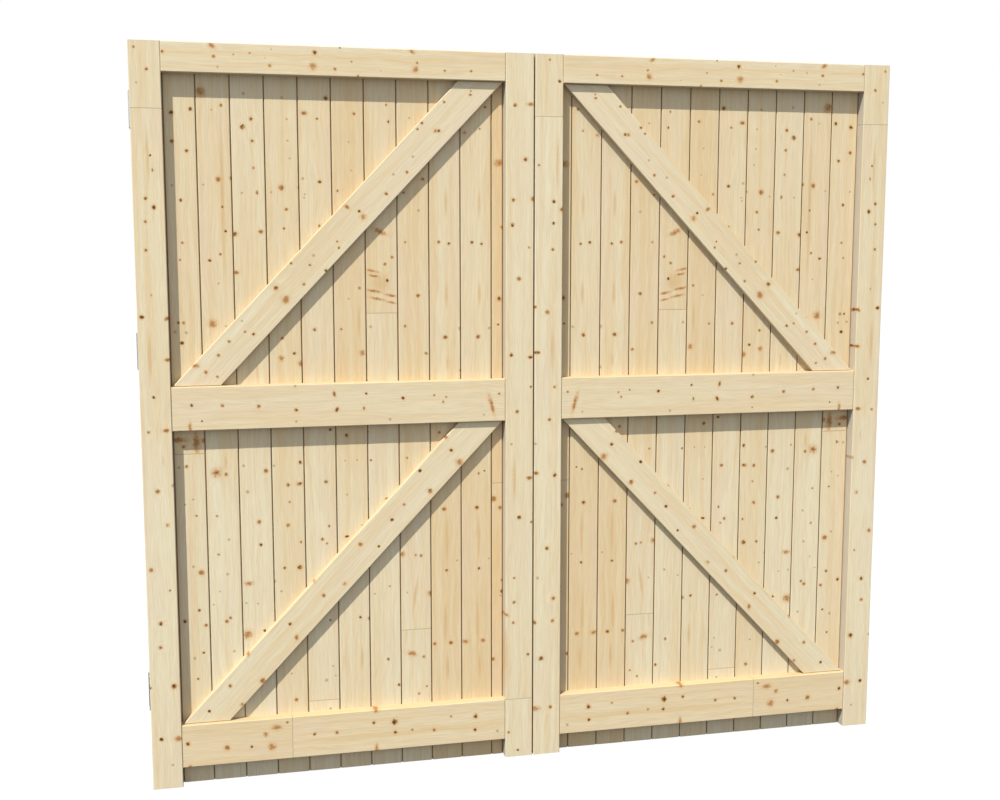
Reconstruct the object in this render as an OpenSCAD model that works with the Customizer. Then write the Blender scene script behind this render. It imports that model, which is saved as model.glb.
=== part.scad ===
// Pair of framed, ledged and braced garage doors, closed, in millimetres.
// The inside, with the rails and braces, faces -Y. The leaves swing outward, to +Y.
// The origin is at the foot of the meeting line, halfway through the leaves' thickness.

/* [Pair] */
// Width over both closed leaves
pair_w = 2286; // [1900:1:2600]
// Height of the leaves
pair_h = 2134; // [1980:1:2300]
// Gap between the leaves where they meet
meeting_gap = 4; // [3:0.5:8]

/* [Framing] */
// Width of a stile
stile_w = 85; // [75:1:110]
// Height of the top rail
top_rail_h = 82; // [75:1:120]
// Height of the middle rail
middle_rail_h = 126; // [100:1:160]
// Underside of the middle rail above the floor
middle_rail_z = 1055; // [950:1:1150]
// Height of the bottom rail
bottom_rail_h = 128; // [100:1:160]
// Underside of the bottom rail above the floor
bottom_rail_z = 58; // [30:1:120]
// Thickness of the middle and bottom rails
rail_t = 32; // [30:0.5:38]
// Distance of the middle and bottom rails' faces behind the stiles' inside face
rail_setback = 2; // [0.5:0.5:4]
// Radius of the eased arrises
arris_r = 2.5; // [1:0.1:4]
// Bevel on the ends of rails and braces
end_bevel = 2.5; // [0.5:0.1:4]

/* [Braces] */
// Width of a brace
brace_w = 97; // [80:1:120]
// Thickness of a brace
brace_t = 21; // [20:0.5:28]
// Space between a brace's toe and the stile beside it
brace_toe_gap = 5; // [2:0.5:12]

/* [Boards] */
// Thickness of a board
board_t = 16; // [14:0.5:20]
// Width that each board covers
board_cover = 93.9; // [85:0.1:120]
// Width of the first board that shows beside the hanging stile
first_board_w = 89.8; // [70:0.1:110]
// Lap of the outer boards in the stiles
board_lap = 10; // [8:0.5:14]
// Depth of the rebate in an outer board's inside face, which leaves its lap
lap_rebate = 4; // [2:0.5:6]
// Lap of the boards on the top rail
head_lap = 15; // [12:0.5:20]
// Gap left between two boards, so that they can swell
board_gap = 3; // [1:0.1:4]
// Bevel of the vee joints on both faces
vee = 1.5; // [1:0.1:3]
// Reach of a board's tongue past the middle of the gap
tongue_l = 6; // [4:0.1:7]
// Thickness of a board's tongue
tongue_t = 5; // [4:0.1:6]
// Play of a tongue in its groove
tongue_play = 0.2; // [0.1:0.05:0.5]

/* [Joinery] */
// Thickness of the tenons
tenon_t = 16; // [12:0.5:20]
// Shoulder above and below the middle and bottom rails' tenons
tenon_inset = 18; // [12:1:25]
// Shoulder between the board ends and the top rail's tenons
head_inset = 6; // [3:0.5:10]
// Length of the top rail's haunches
haunch_l = 15; // [10:1:25]
// Height of the top rail's haunches
haunch_h = 20; // [15:1:24]
// Length of a tenon wedge
wedge_l = 55; // [40:1:65]
// Height of a tenon wedge at its thick end
wedge_h = 6; // [4:0.5:9]
// Height of a tenon wedge at its tip
wedge_tip_h = 1; // [0.5:0.1:2]

/* [Hinges] */
// Height of a butt hinge
hinge_h = 100; // [90:1:120]
// Distance of a hinge from the rail next to it
hinge_offset = 50; // [30:1:90]
// Width of a flap from the leaf's outside face
flap_reach = 38; // [34:0.5:42]
// Thickness of a flap
flap_t = 3; // [2.5:0.1:3.5]
// Gap between the flaps of a closed hinge
flap_gap = 0.4; // [0.3:0.1:1]
// Gap between a leaf's hanging edge and the door frame
hang_gap = 3; // [2:0.1:5]
// Radius of the knuckles
knuckle_r = 6.5; // [6:0.1:8]
// Space between the knuckles and the leaf's outside face
knuckle_stand = 0.5; // [0.4:0.1:2]
// Number of knuckles
knuckle_count = 5; // [3:2:7]
// Gap between two knuckles
knuckle_gap = 0.3; // [0.2:0.05:1]
// Radius of a hinge pin
pin_r = 3.5; // [3:0.1:4]
// Running clearance round a hinge pin
pin_play = 0.05; // [0.02:0.01:0.1]
// Radius of the tips of a hinge pin
pin_tip_r = 5; // [4.5:0.1:5.8]
// Height of the tips of a hinge pin
pin_tip_h = 3; // [2:0.1:5]

/* [Fasteners] */
// Radius of a hinge screw's shank
screw_r = 2.4; // [2:0.1:3]
// Radius of a hinge screw's head
screw_head_r = 4.5; // [4:0.1:5]
// Length of a hinge screw
screw_l = 38; // [25:1:50]
// Width and depth of the slot in a screw's head
screw_slot = 1.1; // [0.8:0.1:1.4]
// Clearance of a screw in its flap
screw_play = 0.25; // [0.1:0.05:0.4]
// Spacing of a flap's screw holes across the leaf
screw_spacing_y = 18; // [14:0.5:22]
// Spacing of a flap's screw holes up the leaf
screw_spacing_z = 70; // [60:1:76]
// Radius of a board nail
nail_r = 1.5; // [1:0.1:2]
// Radius of a board nail's head
nail_head_r = 2.6; // [2.2:0.1:3.5]
// Thickness of a board nail's head
nail_head_t = 1.2; // [0.8:0.1:2]
// Length of a board nail
nail_l = 32; // [28:1:34]
// Distance of the nails from the upper and lower edges of a rail
nail_edge = 30; // [20:1:40]
// Distance of the nails from the edges of a board, as a share of its width
nail_share = 0.28; // [0.2:0.01:0.4]
// Clearance of nails and screws in the timber
timber_play = 0.05; // [0.02:0.01:0.1]

/* [Hidden] */
$fn = 48;
overcut = 1;
pine = "#e9d8b4";
board_pine = "#ecd3a2";
wedge_pine = "#dcc193";
steel = "#a3a5a8";
nail_steel = "#8b8d90";

leaf_w = (pair_w - meeting_gap) / 2;
board_y = rail_setback + rail_t;
leaf_t = board_y + board_t;
opening_w = leaf_w - 2 * stile_w;
top_rail_z = pair_h - top_rail_h;
middle_rail_top = middle_rail_z + middle_rail_h;
bottom_rail_top = bottom_rail_z + bottom_rail_h;
board_top = top_rail_z + head_lap;
board_count = 1 + ceil((opening_w - first_board_w) / board_cover);
brace_y = board_y - brace_t;
brace_toe_x = stile_w + brace_toe_gap;
brace_reach = opening_w - 2 * brace_toe_gap;

// Lower and upper height of each rail's tenons
top_tenon = [board_top + head_inset, pair_h - haunch_h];
middle_tenon = [middle_rail_z + tenon_inset, middle_rail_top - tenon_inset];
bottom_tenon = [bottom_rail_z + tenon_inset, bottom_rail_top - tenon_inset];
tenons = [top_tenon, middle_tenon, bottom_tenon];

// Lower and upper height of the space that each brace fills
upper_span = [middle_rail_top, top_rail_z];
lower_span = [bottom_rail_top, middle_rail_z];

// The flaps lie either side of the pin, with the frame's flap inside the hanging gap
fixed_flap_x = -hang_gap;
moving_flap_x = fixed_flap_x + flap_t + flap_gap;
pin_x = moving_flap_x - flap_gap / 2;
pin_y = leaf_t + knuckle_stand + knuckle_r;
knuckle_h = (hinge_h - (knuckle_count - 1) * knuckle_gap) / knuckle_count;
screw_head_h = screw_head_r - screw_r;

SIDES = ["left", "right"];
HINGES = ["top", "middle", "bottom"];
hinge_z = [
    top_rail_z - hinge_offset - hinge_h,
    middle_rail_top + hinge_offset,
    bottom_rail_top + hinge_offset,
];
FRAMING = [
    "hanging_stile", "meeting_stile", "top_rail", "middle_rail", "bottom_rail", "upper_brace", "lower_brace",
];
GROUPS = ["hinge_pins", "hinge_screws", "tenon_wedges", "board_nails"];

// Left and right edge of board k, counted from the hanging stile
function board_joint(k) = stile_w + first_board_w + (k - 1) * board_cover;
function board_left(k) = k == 1 ? stile_w - board_lap : board_joint(k - 1);
function board_right(k) = k == board_count ? leaf_w - stile_w + board_lap : board_joint(k);
function across_board(k, share) = board_left(k) + share * (board_right(k) - board_left(k));

// Slope of a brace that fits between two rails with its toes clear of the stiles
function rise(span) = span[1] - span[0];
function brace_angle(span) = atan2(rise(span), brace_reach) + asin(brace_w / norm([rise(span), brace_reach]));
function brace_axis_z(span, x) =
    span[0] + (x - brace_toe_x - brace_w / 2 / sin(brace_angle(span))) * tan(brace_angle(span));

// Places of the nails in board k, as x and z
function rail_nails(k, low, high) = [[across_board(k, nail_share), low], [across_board(k, 1 - nail_share), high]];
function brace_nails(k, span) = [
    for (x = [across_board(k, 0.5)])
        let (z = brace_axis_z(span, x))
            if (z > span[0] + brace_w && z < span[1] - brace_w) [x, z],
];
function nails_of(k) = concat(
    rail_nails(k, board_top - head_lap / 2, board_top - head_lap / 2),
    rail_nails(k, middle_rail_z + nail_edge, middle_rail_top - nail_edge),
    rail_nails(k, bottom_rail_z + nail_edge, bottom_rail_top - nail_edge),
    brace_nails(k, upper_span),
    brace_nails(k, lower_span)
);

// Takes a left-hand shape, drawn from its hanging edge and inside face, to its side of the pair
module place(side) {
    if (side == "left") {
        translate([-pair_w / 2, -leaf_t / 2, 0]) children();
    } else {
        mirror([1, 0, 0]) translate([-pair_w / 2, -leaf_t / 2, 0]) children();
    }
}

// Draws a shape of the hanging edge again at the meeting edge
module at_meeting_edge() {
    translate([leaf_w, 0, 0]) mirror([1, 0, 0]) children();
}

// Rectangle with the corners at the listed ends eased
module eased_rect(w, h, corners) {
    difference() {
        square([w, h]);
        for (c = corners) {
            translate([c[0] * w, c[1] * h])
                mirror([c[0], 0]) mirror([0, c[1]])
                    difference() {
                        translate([-overcut, -overcut]) square(arris_r + overcut);
                        translate([arris_r, arris_r]) circle(arris_r);
                    }
        }
    }
}

// Bar along X with its section drawn in Y and Z
module bar_along_x(length) {
    rotate([90, 0, 90]) linear_extrude(length) children();
}

// Plate through the tenons' thickness with its outline drawn in X and Z
module tenon_plate() {
    translate([0, board_y, 0]) rotate([90, 0, 0]) linear_extrude(tenon_t) children();
}

// Through tenon at the hanging stile
module tenon(span) {
    tenon_plate() translate([0, span[0]]) square([stile_w, rise(span)]);
}

// Stub beside the top tenon, which keeps the rail's full height from twisting
module haunch() {
    tenon_plate() translate([stile_w - haunch_l, pair_h - haunch_h]) square([haunch_l, haunch_h]);
}

// Wedges driven above and below a tenon, from the stile's outer edge
module wedge_pair(span) {
    outline = [[0, 0], [wedge_l, 0], [wedge_l, wedge_tip_h], [0, wedge_h]];
    tenon_plate() translate([0, span[1]]) polygon(outline);
    tenon_plate() translate([0, span[0]]) mirror([0, 1]) polygon(outline);
}

module nail(play, lift) {
    translate([0, 0, -lift]) cylinder(h = nail_head_t + lift, r = nail_head_r + play);
    cylinder(h = nail_l + play, r = nail_r + play);
}

// Nails driven from the outside face of the boards
module nails(first, last, play, lift) {
    for (k = [first : last], at = nails_of(k)) {
        translate([at[0], leaf_t, at[1]]) rotate([90, 0, 0]) nail(play, lift);
    }
}

module nail_holes(first, last) {
    nails(first, last, timber_play, overcut);
}

// Places a shape that points into the leaf at each screw of a flap
module at_screws(x) {
    for (y = [-0.5, 0.5], z = [-0.5, 0.5]) {
        translate([
            x,
            leaf_t - flap_reach / 2 + y * screw_spacing_y,
            hinge_h / 2 + z * screw_spacing_z,
        ]) rotate([0, 90, 0]) children();
    }
}

// Countersunk screw from its head's flat top to its point
module screw(play) {
    rotate_extrude()
        polygon([
            [0, 0],
            [screw_head_r + play, 0],
            [screw_r + play, screw_head_h],
            [screw_r + play, screw_l - screw_head_h],
            [0, screw_l + play],
        ]);
}

module at_hinges() {
    for (z = hinge_z) {
        translate([0, 0, z]) children();
    }
}

// Stile with its mortises and the rebate that takes the boards
module stile() {
    difference() {
        linear_extrude(pair_h) eased_rect(stile_w, leaf_t, [[0, 0], [1, 0], [0, 1]]);
        translate([stile_w - board_lap, board_y + lap_rebate, -overcut])
            cube([board_lap + overcut, board_t - lap_rebate + overcut, board_top + overcut]);
        for (span = tenons) {
            tenon(span);
            wedge_pair(span);
        }
        haunch();
    }
}

module hanging_stile(side) {
    color(pine) place(side)
        difference() {
            stile();
            at_hinges() {
                translate([-overcut, leaf_t - flap_reach, 0])
                    cube([moving_flap_x + flap_t + overcut, flap_reach + overcut, hinge_h]);
                at_screws(moving_flap_x) screw(timber_play);
            }
        }
}

module meeting_stile(side) {
    color(pine) place(side) at_meeting_edge() stile();
}

// Section of the cut that bevels an end
module bevel_section() {
    polygon([[-overcut, -overcut], [end_bevel + overcut, -overcut], [-overcut, end_bevel + overcut]]);
}

// Bevels the ends of a rail's inside face, which lies at y, where they meet the stiles
module shoulder_bevels(y) {
    translate([stile_w, y, 0]) linear_extrude(pair_h) bevel_section();
    at_meeting_edge() translate([stile_w, y, 0]) linear_extrude(pair_h) bevel_section();
}

module top_rail(side) {
    color(pine) place(side) {
        difference() {
            translate([stile_w, 0, top_rail_z])
                bar_along_x(opening_w) eased_rect(leaf_t, top_rail_h, [[0, 0], [0, 1], [1, 1]]);
            translate([stile_w - overcut, board_y, top_rail_z - overcut])
                cube([opening_w + 2 * overcut, board_t + overcut, head_lap + overcut]);
            shoulder_bevels(0);
            nail_holes(1, board_count);
        }
        tenon(top_tenon);
        haunch();
        at_meeting_edge() {
            tenon(top_tenon);
            haunch();
        }
    }
}

// Rail whose back face the boards pass over
module ledge_rail(low, height, span) {
    difference() {
        translate([stile_w, rail_setback, low])
            bar_along_x(opening_w) eased_rect(rail_t, height, [[0, 0], [0, 1]]);
        shoulder_bevels(rail_setback);
        nail_holes(1, board_count);
    }
    tenon(span);
    at_meeting_edge() tenon(span);
}

module middle_rail(side) {
    color(pine) place(side) ledge_rail(middle_rail_z, middle_rail_h, middle_tenon);
}

module bottom_rail(side) {
    color(pine) place(side) ledge_rail(bottom_rail_z, bottom_rail_h, bottom_tenon);
}

// Brace rising from the hanging stile to the meeting stile, cut level at both rails
module brace(span) {
    difference() {
        intersection() {
            translate([brace_toe_x, brace_y, span[0]])
                rotate([0, -brace_angle(span), 0])
                    translate([-2 * brace_w, 0, 0])
                        bar_along_x(rise(span) / sin(brace_angle(span)) + 4 * brace_w)
                            translate([0, -brace_w])
                                eased_rect(brace_t, brace_w, [[0, 0], [0, 1]]);
            translate([stile_w, 0, span[0]]) cube([opening_w, leaf_t, rise(span)]);
        }
        translate([stile_w, brace_y, span[0]]) bar_along_x(opening_w) bevel_section();
        translate([stile_w, brace_y, span[1]]) mirror([0, 0, 1]) bar_along_x(opening_w) bevel_section();
        nail_holes(1, board_count);
    }
}

module upper_brace(side) {
    color(pine) place(side) brace(upper_span);
}

module lower_brace(side) {
    color(pine) place(side) brace(lower_span);
}

// Section of a board, with its edges bevelled. It has a groove or a tongue where it meets its neighbours,
// and is drawn from the middle of one gap to the middle of the next. An outer board laps a stile instead.
module board_section(w, grooved, tongued) {
    tongue_mid = board_t / 2;
    groove_half = tongue_t / 2 + tongue_play;
    tongue_half = tongue_t / 2;
    groove_l = tongue_l + tongue_play;
    lap = board_lap + board_gap;
    near = grooved ? board_gap / 2 : 0;
    far = tongued ? w - board_gap / 2 : w;
    groove_side = grooved ? [
        [near + vee, board_t], [near, board_t - vee],
        [near, tongue_mid + groove_half], [groove_l, tongue_mid + groove_half],
        [groove_l, tongue_mid - groove_half], [near, tongue_mid - groove_half],
        [near, vee], [near + vee, 0],
    ] : [
        [near + vee, board_t], [near, board_t - vee],
        [near, lap_rebate], [lap, lap_rebate], [lap, vee], [lap + vee, 0],
    ];
    tongue_side = tongued ? [
        [far - vee, 0], [far, vee],
        [far, tongue_mid - tongue_half], [w + tongue_l, tongue_mid - tongue_half],
        [w + tongue_l, tongue_mid + tongue_half], [far, tongue_mid + tongue_half],
        [far, board_t - vee], [far - vee, board_t],
    ] : [
        [far - lap - vee, 0], [far - lap, vee], [far - lap, lap_rebate], [far, lap_rebate],
        [far, board_t - vee], [far - vee, board_t],
    ];
    polygon(concat(groove_side, tongue_side));
}

module board(side, k) {
    color(board_pine) place(side)
        difference() {
            translate([board_left(k), board_y, 0])
                linear_extrude(board_top)
                    board_section(board_right(k) - board_left(k), k > 1, k < board_count);
            nail_holes(k, k);
        }
}

// Flap of a hinge with its own share of the knuckles, drilled for the pin and the screws
module flap(x, first_knuckle) {
    difference() {
        union() {
            translate([x, leaf_t - flap_reach, 0]) cube([flap_t, flap_reach, hinge_h]);
            for (i = [first_knuckle : 2 : knuckle_count - 1]) {
                translate([0, 0, i * (knuckle_h + knuckle_gap)]) {
                    translate([pin_x, pin_y, 0]) cylinder(h = knuckle_h, r = knuckle_r);
                    translate([x, leaf_t - overcut, 0])
                        cube([flap_t, knuckle_stand + knuckle_r + overcut, knuckle_h]);
                }
            }
        }
        translate([pin_x, pin_y, -overcut]) cylinder(h = hinge_h + 2 * overcut, r = pin_r + pin_play);
        children();
    }
}

// The frame's flap is countersunk on the face that meets the leaf's flap
module fixed_flap(side, i) {
    color(steel) place(side) translate([0, 0, hinge_z[i]])
        flap(fixed_flap_x, 0)
            at_screws(fixed_flap_x + flap_t) mirror([0, 0, 1]) screw(screw_play);
}

module moving_flap(side, i) {
    color(steel) place(side) translate([0, 0, hinge_z[i]])
        flap(moving_flap_x, 1)
            at_screws(moving_flap_x) screw(screw_play);
}

// Pins with a turned tip at each end, which keeps them in the knuckles
module hinge_pins(side) {
    color(steel) place(side)
        at_hinges()
            translate([pin_x, pin_y, hinge_h / 2])
                for (flip = [0, 1]) {
                    mirror([0, 0, flip])
                        rotate_extrude()
                            polygon([
                                [0, 0], [pin_r, 0], [pin_r, hinge_h / 2], [pin_tip_r, hinge_h / 2],
                                [pin_tip_r, hinge_h / 2 + pin_tip_h / 2], [pin_r, hinge_h / 2 + pin_tip_h],
                                [0, hinge_h / 2 + pin_tip_h],
                            ]);
                }
}

module hinge_screws(side) {
    color(steel) place(side)
        at_hinges()
            at_screws(moving_flap_x)
                difference() {
                    screw(0);
                    translate([-screw_head_r - overcut, -screw_slot / 2, -overcut])
                        cube([2 * (screw_head_r + overcut), screw_slot, screw_slot + overcut]);
                }
}

module tenon_wedges(side) {
    color(wedge_pine) place(side)
        for (span = tenons) {
            wedge_pair(span);
            at_meeting_edge() wedge_pair(span);
        }
}

module board_nails(side) {
    color(nail_steel) place(side) nails(1, board_count, 0, 0);
}

for (side = SIDES) {
    hanging_stile(side);
    meeting_stile(side);
    top_rail(side);
    middle_rail(side);
    bottom_rail(side);
    upper_brace(side);
    lower_brace(side);
    for (k = [1 : board_count]) {
        board(side, k);
    }
    for (i = [0 : len(HINGES) - 1]) {
        fixed_flap(side, i);
        moving_flap(side, i);
    }
    hinge_pins(side);
    hinge_screws(side);
    tenon_wedges(side);
    board_nails(side);
}
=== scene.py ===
"""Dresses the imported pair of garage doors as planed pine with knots, and sets floor, light and camera."""

from __future__ import annotations

import logging
import math
import random
from collections.abc import Mapping
from dataclasses import dataclass
from enum import Enum
from functools import partial, reduce
from typing import Union

import bpy
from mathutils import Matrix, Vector


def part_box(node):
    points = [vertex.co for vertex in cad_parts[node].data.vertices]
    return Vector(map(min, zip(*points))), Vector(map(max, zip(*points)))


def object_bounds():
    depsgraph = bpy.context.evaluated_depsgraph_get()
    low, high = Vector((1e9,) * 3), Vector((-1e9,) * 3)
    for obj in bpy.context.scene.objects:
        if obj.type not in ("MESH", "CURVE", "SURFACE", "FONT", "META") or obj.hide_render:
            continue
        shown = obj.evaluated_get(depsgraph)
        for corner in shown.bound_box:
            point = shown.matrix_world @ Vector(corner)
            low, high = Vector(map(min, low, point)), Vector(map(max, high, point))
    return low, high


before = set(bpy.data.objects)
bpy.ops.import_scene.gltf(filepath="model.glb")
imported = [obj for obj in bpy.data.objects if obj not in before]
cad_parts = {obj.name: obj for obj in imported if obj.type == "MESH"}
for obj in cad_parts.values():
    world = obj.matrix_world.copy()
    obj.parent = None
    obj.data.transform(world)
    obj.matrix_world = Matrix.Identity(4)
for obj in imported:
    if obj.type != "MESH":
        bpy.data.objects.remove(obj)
CAD_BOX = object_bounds()

LOG = logging.getLogger("garage_doors")
MM_PER_M = 1000.0
FAR_AWAY = 99.0
WHITE = (1.0, 1.0, 1.0, 1.0)
NOISE_MIDDLE = 0.5
BRACE_SLOPE = math.radians(46.5)
GROOVE_HALF = 6.4
GRAIN = ("Late", "Figure", "Hair", "Fibre", "Cloud")
# The last two facings are masks for painted shade: on upper faces, and inside the joints between boards.
FACINGS = ("End", "Edge", "Top", "Groove")

Socket = bpy.types.NodeSocket
Outputs = bpy.types.NodeOutputs
Material = bpy.types.Material
Feed = Union[Socket, float, tuple]
Pair = tuple[float, float]
Triple = tuple[float, float, float]
Color = tuple[float, float, float, float]
Span = tuple[float, ...]


class Kind(Enum):
    """Kinds of socket that a shared node group has."""

    VALUE = "NodeSocketFloat"
    VECTOR = "NodeSocketVector"
    COLOR = "NodeSocketColor"

    def named(self, *labels: str) -> dict[str, Kind]:
        """Gives sockets of this kind, by their names."""
        return dict.fromkeys(labels, self)


class Side(Enum):
    """The two leaves, as seen from inside."""

    LEFT = "left"
    RIGHT = "right"


class Run(Enum):
    """How the grain of a piece runs: the unit vector along it, with x counted from the meeting line."""

    UPRIGHT = (0.0, 0.0, 1.0)
    LEVEL = (1.0, 0.0, 0.0)
    RISING = (-math.cos(BRACE_SLOPE), 0.0, math.sin(BRACE_SLOPE))

    def across(self) -> Triple:
        """Gives the unit vector across the grain in the face of the piece."""
        return (self.value[2], 0.0, -self.value[0])


class Look(Enum):
    """Kinds of mark in pine."""

    TIGHT = "Tight"
    PIN = "Pin"
    SOFT = "Soft"
    STREAK = "Streak"


LOOKS = tuple(look.value for look in Look)


@dataclass(frozen=True)
class Mark:
    """A knot or streak, placed in mm: x from the meeting line, z from the floor.

    Attributes:
        x: Place across the leaf.
        z: Height.
        wide: Half of its width.
        tall: Half of its height, or 0 where it is as tall as wide.
        turn: Turn in degrees from level towards upright, going away from the meeting line.
        look: Kind of mark.
    """

    x: float
    z: float
    wide: float
    tall: float = 0.0
    turn: float = 0.0
    look: Look = Look.TIGHT

    def level(self) -> Vector:
        """Gives the unit vector along its width."""
        return Vector((math.cos(math.radians(self.turn)), 0.0, math.sin(math.radians(self.turn))))

    def upright(self) -> Vector:
        """Gives the unit vector along its height."""
        return Vector((-self.level().z, 0.0, self.level().x))


def pin(x: float, z: float, wide: float = 3.0) -> Mark:
    """Makes a small grey-brown knot."""
    return Mark(x, z, wide, look=Look.PIN)


def soft(x: float, z: float, wide: float, tall: float = 0.0, turn: float = 0.0) -> Mark:
    """Makes an orange-brown knot without a dark core."""
    return Mark(x, z, wide, tall, turn, Look.SOFT)


def streak(x: float, z: float, wide: float, tall: float, turn: float = 0.0) -> Mark:
    """Makes a tan streak in the grain."""
    return Mark(x, z, wide, tall, turn, Look.STREAK)


@dataclass
class Graph:
    """Adds nodes to one node tree with short calls.

    Attributes:
        tree: Node tree of a material, a world or a shared group.
    """

    tree: bpy.types.NodeTree

    def add(
        self, kind: str, feeds: Mapping[str | int, Feed] | None = None, **settings: object,
    ) -> bpy.types.Node:
        """Adds a node.

        Args:
            kind: The node's type.
            feeds: A socket to link or a constant to set, for each input.
            settings: The node's own properties.

        Returns:
            The new node.
        """
        node = self.tree.nodes.new(kind)
        for key, value in settings.items():
            setattr(node, key, value)
        for key, value in (feeds or {}).items():
            self.feed(node.inputs[key], value)
        return node

    def feed(self, socket: Socket, value: Feed) -> None:
        """Links a socket, or sets its constant.

        Args:
            socket: The input.
            value: An output to link, or a constant.
        """
        if isinstance(value, Socket):
            self.tree.links.new(value, socket)
        else:
            socket.default_value = value

    def math(self, operation: str, *feeds: Feed) -> Socket:
        """Adds a Math node and gives its output."""
        return self.add("ShaderNodeMath", dict(enumerate(feeds)), operation=operation).outputs[0]

    def total(self, *feeds: Feed) -> Socket:
        """Adds up two or more values."""
        return reduce(partial(self.math, "ADD"), feeds)

    def product(self, *feeds: Feed) -> Socket:
        """Multiplies two or more values."""
        return reduce(partial(self.math, "MULTIPLY"), feeds)

    def size(self, value: Feed) -> Socket:
        """Gives a value without its sign."""
        return self.math("ABSOLUTE", value)

    def vector_math(self, operation: str, *feeds: Feed) -> Outputs:
        """Adds a Vector Math node and gives its outputs."""
        return self.add("ShaderNodeVectorMath", dict(enumerate(feeds)), operation=operation).outputs

    def vector(self, operation: str, *feeds: Feed) -> Socket:
        """Adds a Vector Math node that puts out a vector."""
        return self.vector_math(operation, *feeds)["Vector"]

    def measure(self, operation: str, *feeds: Feed) -> Socket:
        """Adds a Vector Math node that puts out a value."""
        return self.vector_math(operation, *feeds)["Value"]

    def split(self, vector: Feed) -> Outputs:
        """Gives the three values of a vector."""
        return self.add("ShaderNodeSeparateXYZ", {0: vector}).outputs

    def combine(self, x: Feed, y: Feed, z: Feed) -> Socket:
        """Makes a vector of three values."""
        return self.add("ShaderNodeCombineXYZ", {"X": x, "Y": y, "Z": z}).outputs[0]

    def ramp(self, value: Feed, low: Feed, high: Feed, to_low: Feed = 0.0, to_high: Feed = 1.0) -> Socket:
        """Maps a span smoothly to another.

        Args:
            value: The value to map.
            low: Where the span starts.
            high: Where it ends, which may be lower.
            to_low: Result at the start.
            to_high: Result at the end.

        Returns:
            The mapped value.
        """
        feeds = {"Value": value, "From Min": low, "From Max": high, "To Min": to_low, "To Max": to_high}
        return self.add("ShaderNodeMapRange", feeds, interpolation_type="SMOOTHSTEP").outputs[0]

    def noise(self, point: Feed, scale: Feed, detail: float) -> Outputs:
        """Adds a noise texture and gives its outputs."""
        return self.add("ShaderNodeTexNoise", {"Vector": point, "Scale": scale, "Detail": detail}).outputs

    def mix(self, share: Feed, first: Feed, second: Feed, blend: str = "MIX") -> Socket:
        """Mixes two colours.

        Args:
            share: Share of the second colour.
            first: First colour.
            second: Second colour.
            blend: How they are blended.

        Returns:
            The mixed colour.
        """
        node = self.add("ShaderNodeMix", data_type="RGBA", blend_type=blend)
        colors = [socket for socket in node.inputs if socket.type == "RGBA"]
        for socket, value in zip((node.inputs["Factor"], *colors), (share, first, second)):
            self.feed(socket, value)
        return next(socket for socket in node.outputs if socket.type == "RGBA")

    def paint(self, color: Feed, *layers: tuple[Feed, Color]) -> Feed:
        """Lays tints over a colour.

        Args:
            color: The colour below.
            layers: Share and tint of each layer, from the lowest.

        Returns:
            The painted colour.
        """
        for share, tint in layers:
            color = self.mix(share, color, tint)
        return color


class SharedGroup:
    """A shader node group with named inputs and outputs, made once and placed in many materials."""

    def __init__(self, name: str, inputs: Mapping[str, Kind], outputs: Mapping[str, Kind]) -> None:
        """Makes an empty group.

        Args:
            name: The group's name.
            inputs: Kind of each named input.
            outputs: Kind of each named output.
        """
        self.tree = bpy.data.node_groups.new(name, "ShaderNodeTree")
        for label, kind in inputs.items():
            self.tree.interface.new_socket(label, in_out="INPUT", socket_type=kind.value)
        for label, kind in outputs.items():
            self.tree.interface.new_socket(label, in_out="OUTPUT", socket_type=kind.value)
        self.graph = Graph(self.tree)
        self.given = self.tree.nodes.new("NodeGroupInput").outputs
        self.results = self.tree.nodes.new("NodeGroupOutput").inputs

    def give(self, **values: Socket) -> None:
        """Links values to the group's outputs of those names."""
        for label, value in values.items():
            self.graph.feed(self.results[label], value)

    def place(self, graph: Graph, **feeds: Feed) -> Outputs:
        """Places the group in a material.

        Args:
            graph: The material's graph.
            feeds: What goes into the group's inputs of those names.

        Returns:
            The placed group's outputs.
        """
        node = graph.add("ShaderNodeGroup", node_tree=self.tree)
        for label, value in feeds.items():
            graph.feed(node.inputs[label], value)
        return node.outputs


def start_material(name: str) -> tuple[Material, Graph]:
    """Makes a material with nodes.

    Args:
        name: Its name.

    Returns:
        The material and its graph.
    """
    material = bpy.data.materials.new(name)
    material.use_nodes = True
    return material, Graph(material.node_tree)


def dress_shader(graph: Graph, color: Feed, face: Outputs, bump: Mapping[str, float]) -> bpy.types.Node:
    """Feeds the shader of a material.

    Args:
        graph: The material's graph.
        color: Its colour.
        face: Outputs that hold its roughness and height.
        bump: Strength of its bump, and the distance that a height of 1 stands for, in metres.

    Returns:
        The shader.
    """
    shader = graph.tree.nodes["Principled BSDF"]
    raised = graph.add("ShaderNodeBump", {"Height": face["Height"], **bump})
    graph.feed(shader.inputs["Base Color"], color)
    graph.feed(shader.inputs["Roughness"], face["Roughness"])
    graph.feed(shader.inputs["Normal"], raised.outputs[0])
    return shader


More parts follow.
